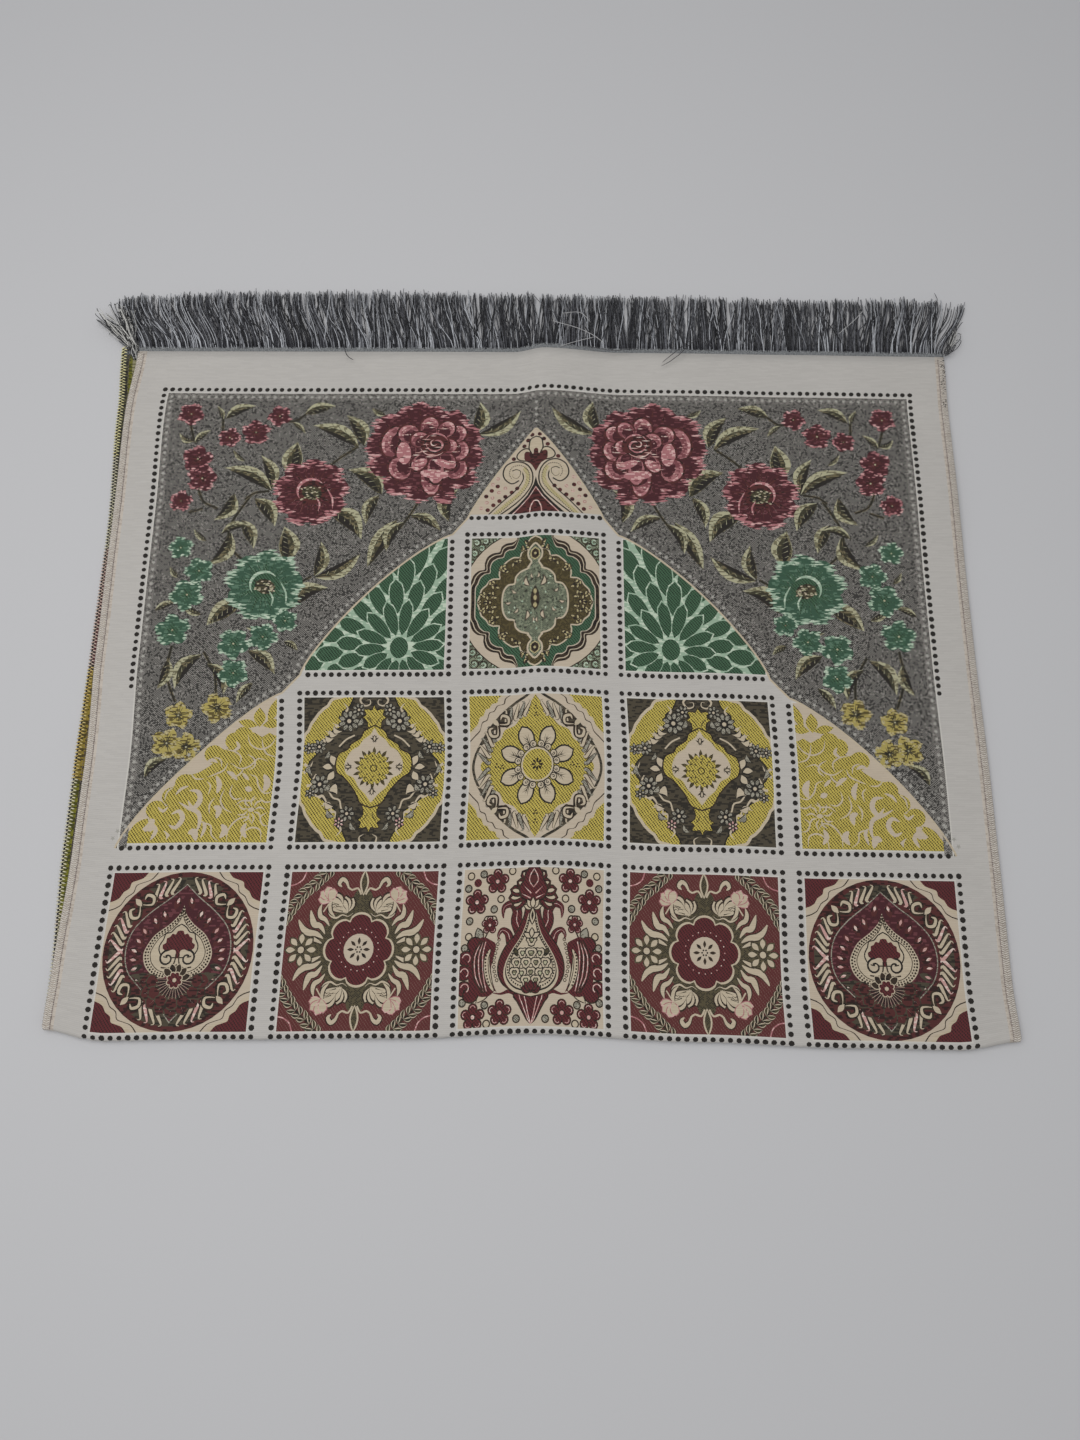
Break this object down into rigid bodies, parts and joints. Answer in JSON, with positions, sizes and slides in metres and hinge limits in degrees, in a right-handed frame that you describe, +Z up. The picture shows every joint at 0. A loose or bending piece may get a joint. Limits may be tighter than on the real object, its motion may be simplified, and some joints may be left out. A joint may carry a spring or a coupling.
{
  "type": "folded prayer rug",
  "caption": "Thin flat-woven prayer rug folded in half with its face outwards, lying flat, with yarn fringe along its woven ends.",
  "frame": {"origin": "middle of the underside of the folded rug's box, where it rests on a surface", "axes": "+X across the rug, to the right seen from the fold; +Y from the fold to the fringe; +Z up"},
  "size_m": [0.7486, 0.6468, 0.0113],
  "materials": {
    "woven_cloth": "flat-woven jacquard, cream ground with a many-coloured pattern, matt",
    "fringe_yarn": "twisted yarn in charcoal, mid grey and pale grey, matt"
  },
  "bodies": {
    "root": {"cloth": "woven_cloth", "fringe_upper": "fringe_yarn", "fringe_under": "fringe_yarn"}
  },
  "joints": []
}
